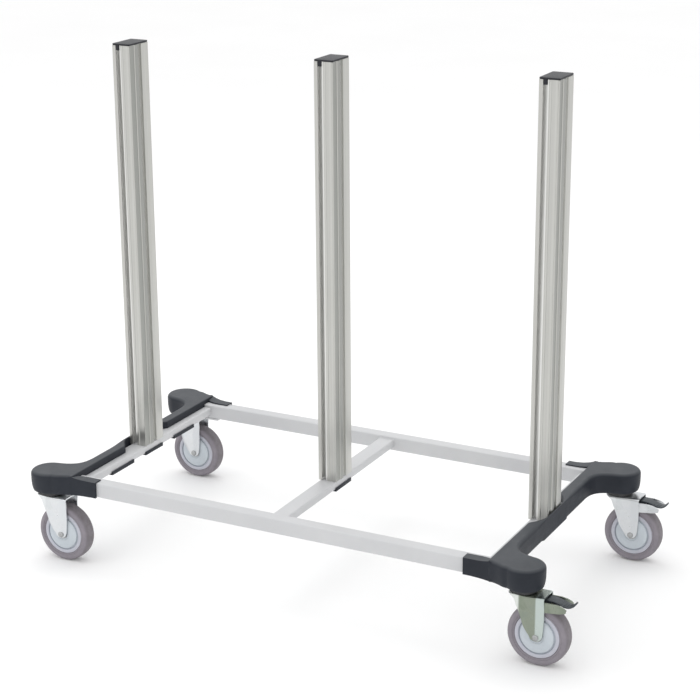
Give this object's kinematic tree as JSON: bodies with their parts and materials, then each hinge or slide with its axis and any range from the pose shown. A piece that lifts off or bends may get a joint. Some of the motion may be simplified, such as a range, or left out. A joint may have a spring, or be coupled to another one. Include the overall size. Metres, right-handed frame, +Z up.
{
  "type": "wheeled storage trolley base with uprights",
  "caption": "Low wheeled steel base on swivel castors with slotted aluminium uprights standing along its middle to hold trays, baskets or shelves; pedal brakes at one end.",
  "frame": {"origin": "on the floor, below the centre of the whole box", "axes": "+X along the long rails towards the braked castors, +Y towards the rear rail, +Z up"},
  "size_m": [1.2412, 0.6228, 1.08],
  "materials": {
    "frame_paint": "light grey powder coat",
    "anodised_aluminium": "satin anodised, drawn lengthwise",
    "cap_plastic": "fine-grained black moulding",
    "moulding_plastic": "fine-grained charcoal moulding",
    "zinc_plate": "bright zinc plate",
    "bright_steel": "zinc-plated fastener",
    "hub_plastic": "smooth grey moulding",
    "grey_rubber": "grey non-marking rubber",
    "pedal_steel": "dark grey coated steel"
  },
  "bodies": {
    "base_frame": {"front_long_rail": "frame_paint", "rear_long_rail": "frame_paint", "left_cross_tube": "frame_paint", "middle_cross_tube": "frame_paint", "right_cross_tube": "frame_paint", "front_left_castor_plate": "frame_paint", "rear_left_castor_plate": "frame_paint", "front_right_castor_plate": "frame_paint", "rear_right_castor_plate": "frame_paint", "left_upright": "anodised_aluminium", "left_upright_cap": "cap_plastic", "left_foot_plate": "moulding_plastic", "left_upright_front_bolt": "bright_steel", "left_upright_rear_bolt": "bright_steel", "middle_upright": "anodised_aluminium", "middle_upright_cap": "cap_plastic", "middle_foot_plate": "moulding_plastic", "middle_upright_front_bolt": "bright_steel", "middle_upright_rear_bolt": "bright_steel", "right_upright": "anodised_aluminium", "right_upright_cap": "cap_plastic", "right_foot_plate": "moulding_plastic", "right_upright_front_bolt": "bright_steel", "right_upright_rear_bolt": "bright_steel", "left_end_moulding": "moulding_plastic", "right_end_moulding": "moulding_plastic", "front_left_swivel_head": "zinc_plate", "rear_left_swivel_head": "zinc_plate", "front_right_swivel_head": "zinc_plate", "rear_right_swivel_head": "zinc_plate"},
    "front_left_castor": {"front_left_fork": "zinc_plate", "front_left_axle_bolt": "bright_steel", "front_left_axle_nut": "bright_steel"},
    "front_left_wheel": {"front_left_wheel_hub": "hub_plastic", "front_left_wheel_bearing": "bright_steel", "front_left_tyre": "grey_rubber"},
    "rear_left_castor": {"rear_left_fork": "zinc_plate", "rear_left_axle_bolt": "bright_steel", "rear_left_axle_nut": "bright_steel"},
    "rear_left_wheel": {"rear_left_wheel_hub": "hub_plastic", "rear_left_wheel_bearing": "bright_steel", "rear_left_tyre": "grey_rubber"},
    "front_right_castor": {"front_right_fork": "zinc_plate", "front_right_axle_bolt": "bright_steel", "front_right_axle_nut": "bright_steel", "front_right_brake_bracket": "zinc_plate", "front_right_brake_pin": "bright_steel"},
    "front_right_wheel": {"front_right_wheel_hub": "hub_plastic", "front_right_wheel_bearing": "bright_steel", "front_right_tyre": "grey_rubber"},
    "front_right_pedal": {"front_right_brake_pedal": "pedal_steel"},
    "rear_right_castor": {"rear_right_fork": "zinc_plate", "rear_right_axle_bolt": "bright_steel", "rear_right_axle_nut": "bright_steel", "rear_right_brake_bracket": "zinc_plate", "rear_right_brake_pin": "bright_steel"},
    "rear_right_wheel": {"rear_right_wheel_hub": "hub_plastic", "rear_right_wheel_bearing": "bright_steel", "rear_right_tyre": "grey_rubber"},
    "rear_right_pedal": {"rear_right_brake_pedal": "pedal_steel"}
  },
  "joints": [
    {"name": "front_left_swivel", "type": "hinge", "parent": "base_frame", "child": "front_left_castor", "pos_m": [-0.579, -0.27, 0.144], "axis": [0, 0, 1], "continuous": true},
    {"name": "front_left_wheel_spin", "type": "hinge", "parent": "front_left_castor", "child": "front_left_wheel", "pos_m": [-0.545, -0.27, 0.0625], "axis": [0, 1, 0], "continuous": true},
    {"name": "rear_left_swivel", "type": "hinge", "parent": "base_frame", "child": "rear_left_castor", "pos_m": [-0.579, 0.27, 0.144], "axis": [0, 0, 1], "continuous": true},
    {"name": "rear_left_wheel_spin", "type": "hinge", "parent": "rear_left_castor", "child": "rear_left_wheel", "pos_m": [-0.545, 0.27, 0.0625], "axis": [0, 1, 0], "continuous": true},
    {"name": "front_right_swivel", "type": "hinge", "parent": "base_frame", "child": "front_right_castor", "pos_m": [0.513, -0.27, 0.144], "axis": [0, 0, 1], "continuous": true},
    {"name": "front_right_wheel_spin", "type": "hinge", "parent": "front_right_castor", "child": "front_right_wheel", "pos_m": [0.547, -0.27, 0.0625], "axis": [0, 1, 0], "continuous": true},
    {"name": "front_right_brake_press", "type": "hinge", "parent": "front_right_castor", "child": "front_right_pedal", "pos_m": [0.553, -0.27, 0.131], "axis": [0, 1, 0], "range_deg": [0, 10]},
    {"name": "rear_right_swivel", "type": "hinge", "parent": "base_frame", "child": "rear_right_castor", "pos_m": [0.513, 0.27, 0.144], "axis": [0, 0, 1], "continuous": true},
    {"name": "rear_right_wheel_spin", "type": "hinge", "parent": "rear_right_castor", "child": "rear_right_wheel", "pos_m": [0.547, 0.27, 0.0625], "axis": [0, 1, 0], "continuous": true},
    {"name": "rear_right_brake_press", "type": "hinge", "parent": "rear_right_castor", "child": "rear_right_pedal", "pos_m": [0.553, 0.27, 0.131], "axis": [0, 1, 0], "range_deg": [0, 10]}
  ]
}
